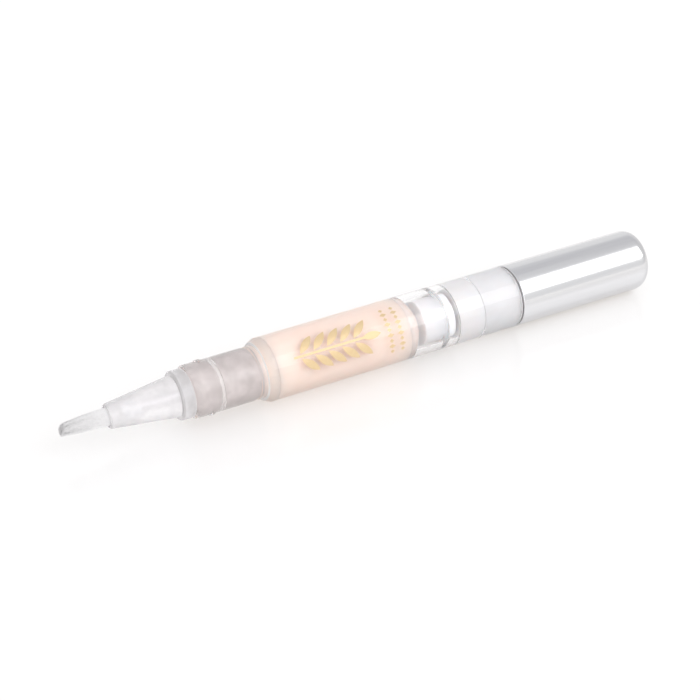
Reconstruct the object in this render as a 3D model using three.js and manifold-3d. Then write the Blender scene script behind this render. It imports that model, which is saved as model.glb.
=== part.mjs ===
// A twist-up brush pen of liquid concealer, lying on its side without its cap.
//
// The pen lies along X on the plane z = 0, with the brush towards -X and the twist knob towards +X.
// Stations along the pen are measured from the cap shoulder of the barrel, and radii from the pen's axis.
// The knob turns the spindle, and the spindle's keyed bore turns the rod. The rod screws forward through
// the nut and pushes the piston, which drives the liquid through the feed tube into the bristles.

import * as THREE from "three";
import { mergeVertices } from "three/addons/utils/BufferGeometryUtils.js";
import Module from "manifold-3d";

const wasm = await Module();
wasm.setup();

// Sizes are in millimetres. First the clearances.
const fit = 0.1; // between pieces that keep still against each other
const running = 0.2; // between pieces that turn or slide against each other
const wiperFit = 0.05; // between the piston's lips and the bore

// Barrel
const barrelRadius = 5.5;
const barrelWall = 1.15;
const barrelRearEdge = 0.15;
const shoulderWidth = 1.0;
const shoulderLedge = 0.45;
const shoulderLength = 1.05;
const neckLength = 12.6;
const neckWall = 1.4;
const neckEdge = 0.35;
const snapBeadSetback = 3.1;
const snapBeadWidth = 1.0;
const snapBeadHeight = 0.18;
const neckGrooveSetback = 1.4;
const neckGrooveWidth = 0.8;
const neckGrooveDepth = 0.22;
const nutSeatStep = 0.2;

// Reservoir and liquid
const reservoirInset = 0.6;
const reservoirConeLength = 1.4;
const reservoirLength = 25.0;
const unreachedLength = 1.0; // of the reservoir, in front of the piston at the end of its stroke

// Nozzle, its seal and its feed tube
const flangeInset = 0.35;
const flangeThickness = 2.3;
const flangeEdge = 0.3;
const nozzleLength = 11.6;
const nozzleRootRadius = 3.5;
const nozzleMouthRadius = 2.1;
const nozzleMouthWall = 0.42;
const nozzleLipRound = 0.2;
const socketDepth = 5.6;
const spigotSetback = 0.6;
const spigotEdge = 0.3;
const sealSetback = 5.0;
const sealGrooveDepth = 0.6;
const feedTubeRadius = 0.7;
const feedTubeWall = 0.3;
const feedTubeReach = 0.4;

// Bristles
const brushLength = 8.0;
const backingSetback = 1.2;
const backingThickness = 1.0;
const strandCount = 300;
const strandRadius = 0.04;
const strandRootDepth = 0.4;
const bellyLength = 3.4;
const bellyRadius = 1.4;
const tipRadius = 0.95;
const tipSlant = 0.8; // by which the uppermost strands are shorter

// Piston
const pistonLength = 9.1;
const pistonGap = 0.6;
const dishDepth = 2.7;
const dishRim = 0.3;
const wiperLength = 1.1;
const wiperRelief = 0.45;
const coreFlangeLength = 1.5;
const coreFlangeInset = 0.5;
const cupWall = 0.75;
const corePlugLength = 4.1;
const headSocketLength = 2.6;
const headThroatLength = 0.8;

// Screw rod and nut
const rodFlatDepth = 0.6; // of each flat below the thread's crest
const threadDepth = 0.5;
const threadLead = 2.0;
const threadCrestWidth = 0.5;
const threadRidgeWidth = 1.1;
const threadPlay = 0.18; // along the axis, on each side of a ridge
const rodHeadEdge = 0.4;
const nutLength = 5.0;
const keyEngagement = 4.5; // of the rod in the spindle at the end of its stroke

// Ratchet
const sleeveLength = 7.3;
const sleeveWall = 0.55;
const sleeveLipLength = 1.2;
const sleeveLipDepth = 0.75;
const toothCount = 16;
const toothDepth = 0.4;
const toothLength = 3.0;
const pawlCount = 4;
const pawlThickness = 0.26;
const pawlSweep = 60; // degrees
const pawlBackOff = 2; // degrees from the tooth's steep face
const pawlHubWall = 0.3;

// Knob
const seamGap = 0.3;
const spindleWall = 0.55;
const spindleTailWall = 0.85;
const spindleFlatInset = 0.25;
const spindleTailLength = 9.0;
const spindleSealDepth = 0.5;
const shellWall = 0.45;
const shellEndWall = 0.5;
const shellEndRound = 1.4;
const shellFrontEdge = 0.12;
const shellInnerCorner = 0.95;
const coreRecess = 0.4;
const rodRoom = 0.35;
const rodEndRoom = 5.8;

// Facets round each piece. A facet faces down, so the pen rests on flats, and touches the true circle.
const barrelSides = 32;
const smallSides = 24;
const tubeSides = 12;
const threadSides = 12;
const sealSides = 8;
const roundSteps = 4;
const dishSteps = 6;

// Stations along the pen
const neckFront = -neckLength;
const flangeFront = neckFront - flangeThickness;
const nozzleMouth = flangeFront - nozzleLength;
const socketEnd = nozzleMouth + socketDepth;
const backingFront = nozzleMouth + backingSetback;
const backingRear = backingFront + backingThickness;
const brushTip = nozzleMouth - brushLength;
const coneFront = reservoirInset;
const coneRear = coneFront + reservoirConeLength;
const spigotEnd = coneFront - spigotSetback;
const sealStation = neckFront + sealSetback;
const pistonFront = coneRear + reservoirLength;
const pistonRear = pistonFront + pistonLength;
const cupRear = pistonRear - coreFlangeLength - fit;
const nutFront = pistonRear + pistonGap;
const nutRear = nutFront + nutLength;
const sleeveFront = nutRear + fit;
const barrelRear = sleeveFront + sleeveLength;
const travel = reservoirLength - unreachedLength;
const spindleFront = sleeveFront + running;
const collarFront = sleeveFront + toothLength + running;
const collarRear = barrelRear - sleeveLipLength - running;
const spindleRear = barrelRear + spindleTailLength;
const rodRear = spindleFront + keyEngagement + travel;
const shellFront = barrelRear + seamGap;
const shellRear = rodRear + rodEndRoom + shellEndWall;

// Radii that follow from the sizes above
const boreRadius = barrelRadius - barrelWall;
const seatRadius = boreRadius + nutSeatStep;
const neckRadius = barrelRadius - shoulderWidth;
const neckBore = neckRadius - neckWall;
const spigotRadius = neckBore - fit;
const sealGrooveRadius = spigotRadius - sealGrooveDepth;
const socketRadius = nozzleMouthRadius - nozzleMouthWall;
const tuftRadius = socketRadius - fit;
const feedBore = feedTubeRadius + fit;
const wiperRadius = boreRadius - wiperFit;
const fillRadius = boreRadius - fit;
const cupWaist = wiperRadius - wiperRelief;
const corePlugRadius = cupWaist - cupWall - fit;
const sleeveBore = seatRadius - fit - sleeveWall;
const sleeveLipRadius = sleeveBore - sleeveLipDepth;
const collarRadius = sleeveBore - running;
const spindleRadius = sleeveLipRadius - running;
const keyRadius = spindleRadius - spindleTailWall;
const spindleFrontRadius = keyRadius + spindleWall;
const rodCrestRadius = keyRadius - running;
const rodRootRadius = rodCrestRadius - threadDepth;
const rodFlat = rodCrestRadius - rodFlatDepth; // from the axis to each flat
const keyFlat = rodFlat + running;
const headSocketRadius = rodCrestRadius; // the head is turned down from the crest by the running gap
const headThroatRadius = rodRootRadius;
const shellBore = barrelRadius - shellWall;

// Geometry helpers

// A solid of revolution about X. The profile is a list of [station, radius] that runs outwards across the
// front, back along the outside and inwards across the rear, and starts and ends on the axis or on itself.
function turned(profile, sides = barrelSides) {
  const grow = 1 / Math.cos(Math.PI / sides);
  const points = profile.map(([x, r]) => new THREE.Vector2(r * grow, x));
  return new THREE.LatheGeometry(points, sides, Math.PI / sides).rotateZ(-Math.PI / 2);
}

// The same for a hollow piece, whose profile goes round and meets its first point.
function turnedRing(profile, sides = barrelSides) {
  return turned([...profile, profile[0]], sides);
}

function cylinder(front, rear, radius, sides) {
  return turned([[front, 0], [front, radius], [rear, radius], [rear, 0]], sides);
}

function tube(front, rear, bore, radius, sides) {
  return turnedRing([[front, bore], [front, radius], [rear, radius], [rear, bore]], sides);
}

// A ring of round section.
function roundRing(station, radius, section) {
  const profile = [];
  for (let i = 0; i < sealSides; i++) {
    const a = (2 * Math.PI * i) / sealSides;
    profile.push([station + section * Math.sin(a), radius + section * Math.cos(a)]);
  }
  return turnedRing(profile, smallSides);
}

// The points of a quarter circle from the outside of a turned piece to its rear face.
function rearRound(rear, radius, round) {
  const points = [];
  for (let i = 0; i <= roundSteps; i++) {
    const a = (Math.PI / 2) * (i / roundSteps);
    points.push([rear - round + round * Math.sin(a), radius - round + round * Math.cos(a)]);
  }
  return points;
}

// The points of a dish that opens to the front: a quarter ellipse from its rim to its deepest point.
function dish(front, rim, depth) {
  const points = [];
  for (let i = 0; i < dishSteps; i++) {
    const a = (Math.PI / 2) * (i / dishSteps);
    points.push([front + depth * Math.sin(a), rim * Math.cos(a)]);
  }
  return [...points, [front + depth, 0]];
}

// A flat outline pushed along X from front to rear.
function pushed(shape, front, rear) {
  const options = { depth: rear - front, bevelEnabled: false };
  return new THREE.ExtrudeGeometry(shape, options).rotateY(Math.PI / 2).translate(front, 0, 0);
}

function box(front, rear, bottom, top, halfWidth) {
  const made = new THREE.BoxGeometry(rear - front, 2 * halfWidth, top - bottom);
  return made.translate((front + rear) / 2, 0, (bottom + top) / 2);
}

function solid(geometry) {
  const bare = geometry.clone();
  bare.deleteAttribute("normal");
  bare.deleteAttribute("uv");
  const merged = mergeVertices(bare);
  return new wasm.Manifold(
    new wasm.Mesh({
      numProp: 3,
      vertProperties: merged.attributes.position.array,
      triVerts: new Uint32Array(merged.index.array),
    }),
  );
}

function geometryOf(made) {
  const mesh = made.getMesh();
  return new THREE.BufferGeometry()
    .setAttribute("position", new THREE.BufferAttribute(new Float32Array(mesh.vertProperties), 3))
    .setIndex(new THREE.BufferAttribute(new Uint32Array(mesh.triVerts), 1));
}

// A round bar between two flats that face up and down.
function flattedBar(front, rear, radius, flat) {
  const bar = solid(cylinder(front, rear, radius, smallSides));
  return bar.intersect(solid(box(front, rear, -flat, flat, 2 * radius)));
}

// What lies outside two flats, for cutting them on a larger piece.
function flatCutters(front, rear, radius, flat) {
  const upper = solid(box(front, rear, flat, 2 * radius, 2 * radius));
  return upper.add(solid(box(front, rear, -2 * radius, -flat, 2 * radius)));
}

// A screw whose trapezoid ridge climbs one lead in each right-hand turn about X, cut square at both ends.
// Each row of points runs along the helix, so a row's last point leads on to the row one turn later.
function screw(front, rear, rootRadius, crestRadius, ridgeWidth, crestWidth) {
  const ridge = [
    [-ridgeWidth / 2, rootRadius],
    [-crestWidth / 2, crestRadius],
    [crestWidth / 2, crestRadius],
    [ridgeWidth / 2, rootRadius],
  ];
  const turn = ridge.length;
  const grow = 1 / Math.cos(Math.PI / threadSides);
  const firstTurn = Math.floor(front / threadLead) - 2;
  const lastTurn = Math.ceil(rear / threadLead) + 2;
  const lastRow = (lastTurn - firstTurn) * turn;
  const positions = [];
  for (let row = 0; row <= lastRow; row++) {
    const [offset, radius] = ridge[row % turn];
    const start = (firstTurn + Math.floor(row / turn)) * threadLead + offset;
    for (let side = 0; side < threadSides; side++) {
      const share = side / threadSides;
      const a = 2 * Math.PI * share;
      const r = radius * grow;
      positions.push(start + threadLead * share, r * Math.cos(a), r * Math.sin(a));
    }
  }
  const at = (row, side) =>
    side < threadSides ? row * threadSides + side : (row + turn) * threadSides;
  const faces = [];
  for (let row = 0; row < lastRow; row++) {
    for (let side = 0; side < threadSides; side++) {
      if (side === threadSides - 1 && row + turn + 1 > lastRow) continue;
      const [a, b] = [at(row, side), at(row, side + 1)];
      const [c, d] = [at(row + 1, side + 1), at(row + 1, side)];
      faces.push(a, b, c, a, c, d);
    }
  }
  const sides = [...Array(threadSides).keys()];
  const steps = [...Array(turn).keys()];
  const frontLoop = [...sides.map((s) => at(0, s)), ...steps.map((s) => at(turn - s, 0))];
  const rearLoop = [
    ...sides.map((s) => at(lastRow, s)),
    ...steps.map((s) => at(lastRow - 1 - s, threadSides - 1)),
  ];
  const frontCentre = positions.length / 3;
  positions.push((firstTurn + 0.5) * threadLead, 0, 0);
  const rearCentre = positions.length / 3;
  positions.push((lastTurn + 0.5) * threadLead, 0, 0);
  frontLoop.forEach((p, i) => faces.push(frontCentre, frontLoop[(i + 1) % frontLoop.length], p));
  rearLoop.forEach((p, i) => faces.push(rearCentre, p, rearLoop[(i + 1) % rearLoop.length]));
  const geometry = new THREE.BufferGeometry()
    .setAttribute("position", new THREE.Float32BufferAttribute(positions, 3))
    .setIndex(faces);
  return solid(geometry).intersect(solid(cylinder(front, rear, 2 * crestRadius, smallSides)));
}

// Pieces

function barrel() {
  const bead = neckFront + snapBeadSetback;
  const groove = -neckGrooveSetback;
  const grooveFloor = neckRadius - neckGrooveDepth;
  return turnedRing([
    [neckFront, neckBore],
    [neckFront, neckRadius - neckEdge],
    [neckFront + neckEdge, neckRadius],
    [bead - snapBeadWidth / 2, neckRadius],
    [bead - snapBeadWidth / 4, neckRadius + snapBeadHeight],
    [bead + snapBeadWidth / 4, neckRadius + snapBeadHeight],
    [bead + snapBeadWidth / 2, neckRadius],
    [groove - neckGrooveWidth / 2, neckRadius],
    [groove - neckGrooveWidth / 4, grooveFloor],
    [groove + neckGrooveWidth / 4, grooveFloor],
    [groove + neckGrooveWidth / 2, neckRadius],
    [0, neckRadius],
    [0, neckRadius + shoulderLedge],
    [shoulderLength, barrelRadius],
    [barrelRear - barrelRearEdge, barrelRadius],
    [barrelRear, barrelRadius - barrelRearEdge],
    [barrelRear, seatRadius],
    [nutFront - fit, seatRadius],
    [nutFront - fit, boreRadius],
    [coneRear, boreRadius],
    [coneFront, neckBore],
  ]);
}

function brushNozzle() {
  const flangeRadius = neckRadius - flangeInset;
  const halfGroove = (neckBore - sealGrooveRadius) / 2;
  return turnedRing([
    [nozzleMouth, socketRadius],
    [nozzleMouth, nozzleMouthRadius - nozzleLipRound],
    [nozzleMouth + nozzleLipRound, nozzleMouthRadius],
    [flangeFront, nozzleRootRadius],
    [flangeFront, flangeRadius - flangeEdge],
    [flangeFront + flangeEdge, flangeRadius],
    [neckFront - fit, flangeRadius],
    [neckFront - fit, spigotRadius],
    [sealStation - halfGroove, spigotRadius],
    [sealStation - halfGroove, sealGrooveRadius],
    [sealStation + halfGroove, sealGrooveRadius],
    [sealStation + halfGroove, spigotRadius],
    [spigotEnd - spigotEdge, spigotRadius],
    [spigotEnd, spigotRadius - spigotEdge],
    [spigotEnd, feedBore],
    [socketEnd, feedBore],
    [socketEnd, socketRadius],
  ]);
}

function nozzleORing() {
  const section = (neckBore - sealGrooveRadius) / 2 - fit;
  return roundRing(sealStation, (neckBore + sealGrooveRadius) / 2, section);
}

function feedTube() {
  const bore = feedTubeRadius - feedTubeWall;
  return tube(backingFront - feedTubeReach, spigotEnd, bore, feedTubeRadius, tubeSides);
}

function tuftBush() {
  return tube(backingRear + fit, socketEnd - fit, feedBore, tuftRadius, smallSides);
}

// Strands leave the backing in a ring round the feed tube, close up to a full round at the belly and draw
// in to a smaller tip. The upper strands are shorter, so the tip's upper corner is rounded off. Each strand
// keeps its own angle and its own share of the area, so no two of them cross.
function strands() {
  const goldenAngle = Math.PI * (3 - Math.sqrt(5));
  const rootInner = feedBore + 2 * strandRadius;
  const rootOuter = tuftRadius - 2 * strandRadius;
  const rootStation = backingFront + strandRootDepth;
  const bellyStation = nozzleMouth - bellyLength;
  const positions = [];
  const faces = [];
  const section = (station, y, z) => {
    for (let k = 0; k < 3; k++) {
      const a = (2 * Math.PI * k) / 3;
      positions.push(station, y + strandRadius * Math.cos(a), z + strandRadius * Math.sin(a));
    }
  };
  for (let i = 0; i < strandCount; i++) {
    const share = (i + 0.5) / strandCount;
    const angle = i * goldenAngle;
    const [across, up] = [Math.cos(angle), Math.sin(angle)];
    const rootRadius = Math.sqrt(rootInner ** 2 + share * (rootOuter ** 2 - rootInner ** 2));
    const out = Math.sqrt(share);
    const end = brushTip + tipSlant * ((1 + up * out) / 2) ** 2;
    const drawnIn = (bellyStation - end) / (bellyStation - brushTip);
    const endRadius = out * (bellyRadius + (tipRadius - bellyRadius) * drawnIn);
    const first = positions.length / 3;
    section(rootStation, rootRadius * across, rootRadius * up);
    section(bellyStation, bellyRadius * out * across, bellyRadius * out * up);
    positions.push(end, endRadius * across, endRadius * up);
    const apex = first + 6;
    faces.push(first, first + 1, first + 2);
    for (let k = 0; k < 3; k++) {
      const next = (k + 1) % 3;
      const [root, rootNext] = [first + k, first + next];
      const [belly, bellyNext] = [first + 3 + k, first + 3 + next];
      faces.push(belly, bellyNext, rootNext, belly, rootNext, root, apex, bellyNext, belly);
    }
  }
  return new THREE.BufferGeometry()
    .setAttribute("position", new THREE.Float32BufferAttribute(positions, 3))
    .setIndex(faces);
}

function bristleTuft() {
  const backing = tube(backingFront, backingRear, feedBore, tuftRadius, smallSides);
  return geometryOf(solid(backing).add(solid(strands())));
}

function concealerFill() {
  return turned([
    [spigotEnd + fit, 0],
    [spigotEnd + fit, neckBore - fit],
    [coneFront, neckBore - fit],
    [coneRear, fillRadius],
    [pistonFront - fit, fillRadius],
    ...dish(pistonFront - fit, wiperRadius - dishRim - fit, dishDepth),
  ]);
}

function pistonCup() {
  const cavityFront = pistonRear - coreFlangeLength - corePlugLength - fit;
  return turned([
    ...dish(pistonFront, wiperRadius - dishRim, dishDepth).reverse(),
    [pistonFront, wiperRadius],
    [pistonFront + wiperLength, wiperRadius],
    [pistonFront + wiperLength + wiperRelief, cupWaist],
    [cupRear - wiperLength - wiperRelief, cupWaist],
    [cupRear - wiperLength, wiperRadius],
    [cupRear, wiperRadius],
    [cupRear, corePlugRadius + fit],
    [cavityFront, corePlugRadius + fit],
    [cavityFront, 0],
  ]);
}

function pistonCore() {
  const flangeFace = pistonRear - coreFlangeLength;
  const socketRear = pistonRear - headThroatLength;
  const socketFront = socketRear - headSocketLength;
  return turned([
    [flangeFace - corePlugLength, 0],
    [flangeFace - corePlugLength, corePlugRadius],
    [flangeFace, corePlugRadius],
    [flangeFace, wiperRadius - coreFlangeInset],
    [pistonRear, wiperRadius - coreFlangeInset],
    [pistonRear, headThroatRadius],
    [socketRear, headThroatRadius],
    [socketRear, headSocketRadius],
    [socketFront, headSocketRadius],
    [socketFront, 0],
  ]);
}

// The head swivels in the piston's socket, and the thread starts behind the piston.
function screwRod() {
  const headRear = pistonRear - headThroatLength - running;
  const headFront = headRear + 2 * running - headSocketLength;
  const headRadius = headSocketRadius - running;
  const threadFront = pistonRear + running;
  const head = turned(
    [
      [headFront, 0],
      [headFront, headRadius - rodHeadEdge],
      [headFront + rodHeadEdge, headRadius],
      [headRear, headRadius],
      [headRear, headThroatRadius - running],
      [threadFront + threadLead, headThroatRadius - running],
      [threadFront + threadLead, 0],
    ],
    smallSides,
  );
  const thread = screw(
    threadFront,
    rodRear,
    rodRootRadius,
    rodCrestRadius,
    threadRidgeWidth,
    threadCrestWidth,
  );
  const flats = solid(box(threadFront, rodRear, -rodFlat, rodFlat, 2 * rodCrestRadius));
  return geometryOf(thread.intersect(flats).add(solid(head)));
}

function threadedNut() {
  const blank = solid(cylinder(nutFront, nutRear, seatRadius - fit));
  const tapped = screw(
    nutFront - nutLength,
    nutRear + nutLength,
    rodRootRadius + running,
    rodCrestRadius + running,
    threadRidgeWidth + 2 * threadPlay,
    threadCrestWidth + 2 * threadPlay,
  );
  return geometryOf(blank.subtract(tapped));
}

// Polar points in the plane across the pen, with the angle in degrees.
function polar(radius, degrees) {
  const a = THREE.MathUtils.degToRad(degrees);
  return new THREE.Vector2(radius * Math.cos(a), radius * Math.sin(a));
}

function ratchetSleeve() {
  const wall = solid(
    turnedRing([
      [sleeveFront, sleeveBore],
      [sleeveFront, seatRadius - fit],
      [barrelRear, seatRadius - fit],
      [barrelRear, sleeveLipRadius],
      [barrelRear - sleeveLipLength, sleeveLipRadius],
      [barrelRear - sleeveLipLength, sleeveBore],
    ]),
  );
  const pitch = 360 / toothCount;
  const teeth = new THREE.Path();
  const saw = [];
  for (let i = 0; i < toothCount; i++) {
    saw.push(polar(sleeveBore - toothDepth, i * pitch), polar(sleeveBore, (i + 1) * pitch));
  }
  teeth.setFromPoints(saw);
  const ring = new THREE.Shape().absarc(0, 0, seatRadius - fit - sleeveWall / 2, 0, 2 * Math.PI);
  ring.holes.push(teeth);
  return geometryOf(wall.add(solid(pushed(ring, sleeveFront, sleeveFront + toothLength))));
}

// A hub that is keyed to the spindle, with springy arms that each end behind a tooth's steep face.
function pawlRing() {
  const front = sleeveFront + running;
  const rear = collarFront - running;
  const bore = spindleFrontRadius + fit;
  const flat = spindleFrontRadius - spindleFlatInset + fit;
  const hubRadius = bore + pawlHubWall;
  const pitch = 360 / toothCount;
  const tipRoom = fit + (toothDepth * pawlBackOff) / pitch;
  const stops = [
    [-pawlSweep, hubRadius],
    [-pitch, sleeveBore - toothDepth - fit],
    [-pawlBackOff, sleeveBore - tipRoom],
  ];
  const hub = solid(cylinder(front, rear, hubRadius, smallSides));
  let ring = hub.subtract(flattedBar(front - running, rear + running, bore, flat));
  for (let i = 0; i < pawlCount; i++) {
    const steepFace = (i * 360) / pawlCount;
    const outer = stops.map(([a, r]) => polar(r, steepFace + a));
    const inner = stops.map(([a, r]) => polar(r - pawlThickness, steepFace + a));
    const arm = new THREE.Shape([...outer, ...inner.reverse()]);
    ring = ring.add(solid(pushed(arm, front, rear)));
  }
  return geometryOf(ring);
}

function spindleSealStation() {
  return (collarFront + collarRear) / 2;
}

function knobSpindle() {
  const seal = spindleSealStation();
  const halfGroove = (spindleSealDepth + running) / 2;
  const grooveRadius = collarRadius - spindleSealDepth;
  const outside = solid(
    turned([
      [spindleFront, 0],
      [spindleFront, spindleFrontRadius],
      [collarFront, spindleFrontRadius],
      [collarFront, collarRadius],
      [seal - halfGroove, collarRadius],
      [seal - halfGroove, grooveRadius],
      [seal + halfGroove, grooveRadius],
      [seal + halfGroove, collarRadius],
      [collarRear, collarRadius],
      [collarRear, spindleRadius],
      [spindleRear, spindleRadius],
      [spindleRear, 0],
    ]),
  );
  const frontFlat = spindleFrontRadius - spindleFlatInset;
  const tailFlat = spindleRadius - spindleFlatInset;
  return geometryOf(
    outside
      .subtract(flatCutters(spindleFront - running, collarFront, spindleFrontRadius, frontFlat))
      .subtract(flatCutters(shellFront, spindleRear + running, spindleRadius, tailFlat))
      .subtract(flattedBar(spindleFront - running, spindleRear + running, keyRadius, keyFlat)),
  );
}

function spindleORing() {
  const grooveRadius = collarRadius - spindleSealDepth;
  const section = (sleeveBore - grooveRadius) / 2 - fit;
  return roundRing(spindleSealStation(), (sleeveBore + grooveRadius) / 2, section);
}

function knobCore() {
  const front = shellFront + coreRecess;
  const rear = shellRear - shellEndWall - fit;
  const radius = shellBore - fit;
  const outside = solid(
    turned([
      [front, 0],
      [front, radius],
      [rear - shellInnerCorner, radius],
      [rear, radius - shellInnerCorner],
      [rear, 0],
    ]),
  );
  const tailFlat = spindleRadius - spindleFlatInset + fit;
  const socket = flattedBar(front - running, spindleRear + fit, spindleRadius + fit, tailFlat);
  const rodBore = solid(
    cylinder(front - running, rear + running, rodCrestRadius + rodRoom, smallSides),
  );
  return geometryOf(outside.subtract(socket).subtract(rodBore));
}

function knobShell() {
  const floor = shellRear - shellEndWall;
  return turned([
    [floor, 0],
    [floor, shellBore - shellInnerCorner],
    [floor - shellInnerCorner, shellBore],
    [shellFront, shellBore],
    [shellFront, barrelRadius - shellFrontEdge],
    [shellFront + shellFrontEdge, barrelRadius],
    ...rearRound(shellRear, barrelRadius, shellEndRound),
    [shellRear, 0],
  ]);
}

// Finishes

function plastic(color, roughness, opacity = 1) {
  return new THREE.MeshStandardMaterial({
    color,
    roughness,
    metalness: 0,
    opacity,
    transparent: opacity < 1,
  });
}

function polishedAluminium() {
  return new THREE.MeshStandardMaterial({ color: "#d3d2d8", roughness: 0.18, metalness: 1 });
}

const pen = new THREE.Group();

function addPiece(name, geometry, material) {
  const piece = new THREE.Mesh(geometry, material);
  piece.name = name;
  pen.add(piece);
}

addPiece("barrel", barrel(), plastic("#f3efee", 0.05, 0.35));
addPiece("brush_nozzle", brushNozzle(), plastic("#e9e6ea", 0.3, 0.7));
addPiece("nozzle_o_ring", nozzleORing(), plastic("#d9d6d4", 0.5));
addPiece("feed_tube", feedTube(), plastic("#f2efe9", 0.4, 0.8));
addPiece("tuft_bush", tuftBush(), plastic("#f4f3f1", 0.45));
addPiece("bristle_tuft", bristleTuft(), plastic("#efeeee", 0.55));
addPiece("concealer_fill", concealerFill(), plastic("#fbdcc9", 0.35));
addPiece("piston_cup", pistonCup(), plastic("#efedf3", 0.35, 0.8));
addPiece("piston_core", pistonCore(), plastic("#fbfaf8", 0.4));
addPiece("screw_rod", screwRod(), plastic("#f6f5f2", 0.4));
addPiece("threaded_nut", threadedNut(), plastic("#eeecef", 0.35, 0.85));
addPiece("ratchet_sleeve", ratchetSleeve(), plastic("#e2dfe4", 0.35, 0.85));
addPiece("pawl_ring", pawlRing(), plastic("#f0eeea", 0.4));
addPiece("knob_spindle", knobSpindle(), plastic("#f0eeee", 0.4));
addPiece("spindle_o_ring", spindleORing(), plastic("#cfcbcb", 0.55));
addPiece("knob_core", knobCore(), plastic("#e6e4e6", 0.4));
addPiece("knob_shell", knobShell(), polishedAluminium());

// The pen lies on z = 0, with the middle of its length at x = 0.
const length = new THREE.Box3().setFromObject(pen);
pen.position.set(-(length.min.x + length.max.x) / 2, 0, barrelRadius);

export default pen;
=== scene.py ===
# %% [markdown]
# # A twist-up brush pen of liquid concealer
#
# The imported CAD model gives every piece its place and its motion. This script dresses it: each piece that
# shows is modelled again with smooth curves, gets a finish made of shader nodes, and rides on the CAD body
# that carries it. The pen lies along X with the brush towards -X and the knob towards +X, on the plane
# z = 0. Everything is in metres.

import math
import random

import bmesh
import bpy
from mathutils import Matrix, Quaternion, Vector


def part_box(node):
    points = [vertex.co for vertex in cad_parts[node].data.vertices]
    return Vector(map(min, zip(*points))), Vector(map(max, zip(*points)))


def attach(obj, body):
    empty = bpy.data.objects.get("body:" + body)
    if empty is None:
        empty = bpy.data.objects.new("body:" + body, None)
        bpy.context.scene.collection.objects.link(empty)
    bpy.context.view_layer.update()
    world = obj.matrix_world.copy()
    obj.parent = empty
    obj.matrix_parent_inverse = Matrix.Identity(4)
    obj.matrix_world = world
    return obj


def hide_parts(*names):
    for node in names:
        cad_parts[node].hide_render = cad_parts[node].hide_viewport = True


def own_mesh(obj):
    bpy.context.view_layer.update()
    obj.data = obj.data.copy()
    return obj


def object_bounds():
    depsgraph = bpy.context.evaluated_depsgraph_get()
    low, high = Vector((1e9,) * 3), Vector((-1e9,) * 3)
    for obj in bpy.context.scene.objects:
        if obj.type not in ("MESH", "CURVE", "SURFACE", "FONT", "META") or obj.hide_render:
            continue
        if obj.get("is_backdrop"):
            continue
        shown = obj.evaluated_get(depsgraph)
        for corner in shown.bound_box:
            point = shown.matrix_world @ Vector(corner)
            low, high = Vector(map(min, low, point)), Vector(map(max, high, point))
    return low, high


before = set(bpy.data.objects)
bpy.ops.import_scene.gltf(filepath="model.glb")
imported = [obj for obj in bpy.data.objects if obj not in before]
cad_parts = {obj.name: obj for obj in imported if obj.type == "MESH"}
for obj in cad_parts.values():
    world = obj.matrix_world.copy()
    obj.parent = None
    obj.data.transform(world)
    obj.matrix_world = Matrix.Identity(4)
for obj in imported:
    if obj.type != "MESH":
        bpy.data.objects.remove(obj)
cad_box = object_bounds()

# %% [markdown]
# ## One axis for everything
#
# Nearly every piece of a pen is turned, so one line is enough to describe it: a profile of stations along
# the pen and radii from its axis. Stations are in millimetres from the shoulder that the cap rests on, as on
# a maker's drawing. The CAD barrel tells where that shoulder lies in the shared frame, so nothing has to be
# fitted by eye.

# %% The pen's axis and the unit of the drawings
MM = 0.001
NECK_FRONT = -12.6
barrel_low, barrel_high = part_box("barrel")
SHOULDER_X = barrel_low.x - NECK_FRONT * MM
AXIS_Z = (barrel_low.z + barrel_high.z) / 2
TO_ROW = Vector((SHOULDER_X, 0.0, AXIS_Z))
print("shoulder at x = %.3f mm, axis at z = %.3f mm" % (SHOULDER_X / MM, AXIS_Z / MM))


def stations(node):
    """Gives the front and rear stations of a CAD node, in mm."""
    low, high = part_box(node)
    return (low.x - SHOULDER_X) / MM, (high.x - SHOULDER_X) / MM


# %% [markdown]
# ## Turning on a lathe
#
# A lathe turns a profile into a solid, and Blender's spin operator does the same. Moulded and turned parts
# have no knife edges, so the profile's corners are rounded first, while they are still a line: one small
# bevel there is a round edge all the way round later. A Bevel modifier could do it too, but would have to
# find the edges again.

# %% A profile that is rounded and spun
SPIN_STEPS = 96


def spun(profile, corner=0.06, ring=False, steps=SPIN_STEPS):
    """Spins a profile of (station, radius) in mm. A ring's profile closes on itself."""
    bm = bmesh.new()
    points = [bm.verts.new((x * MM, 0.0, r * MM)) for x, r in profile]
    after = points[1:] + points[:1] if ring else points[1:]
    for first, second in zip(points, after):
        bm.edges.new((first, second))
    corners = [v for v in bm.verts if len(v.link_edges) == 2]
    if corner:
        bmesh.ops.bevel(
            bm,
            geom=corners,
            offset=corner * MM,
            offset_type="OFFSET",
            segments=3,
            profile=0.5,
            affect="VERTICES",
            clamp_overlap=True,
            material=-1,
        )
    bmesh.ops.spin(
        bm,
        geom=bm.verts[:] + bm.edges[:],
        cent=(0, 0, 0),
        axis=(1, 0, 0),
        angle=2 * math.pi,
        steps=steps,
        use_merge=True,
    )
    return bm


# %% A finished piece: closed, facing out, smooth, and riding on its body
SHARP_ANGLE = math.radians(40)
MERGE = 0.0005 * MM


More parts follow.
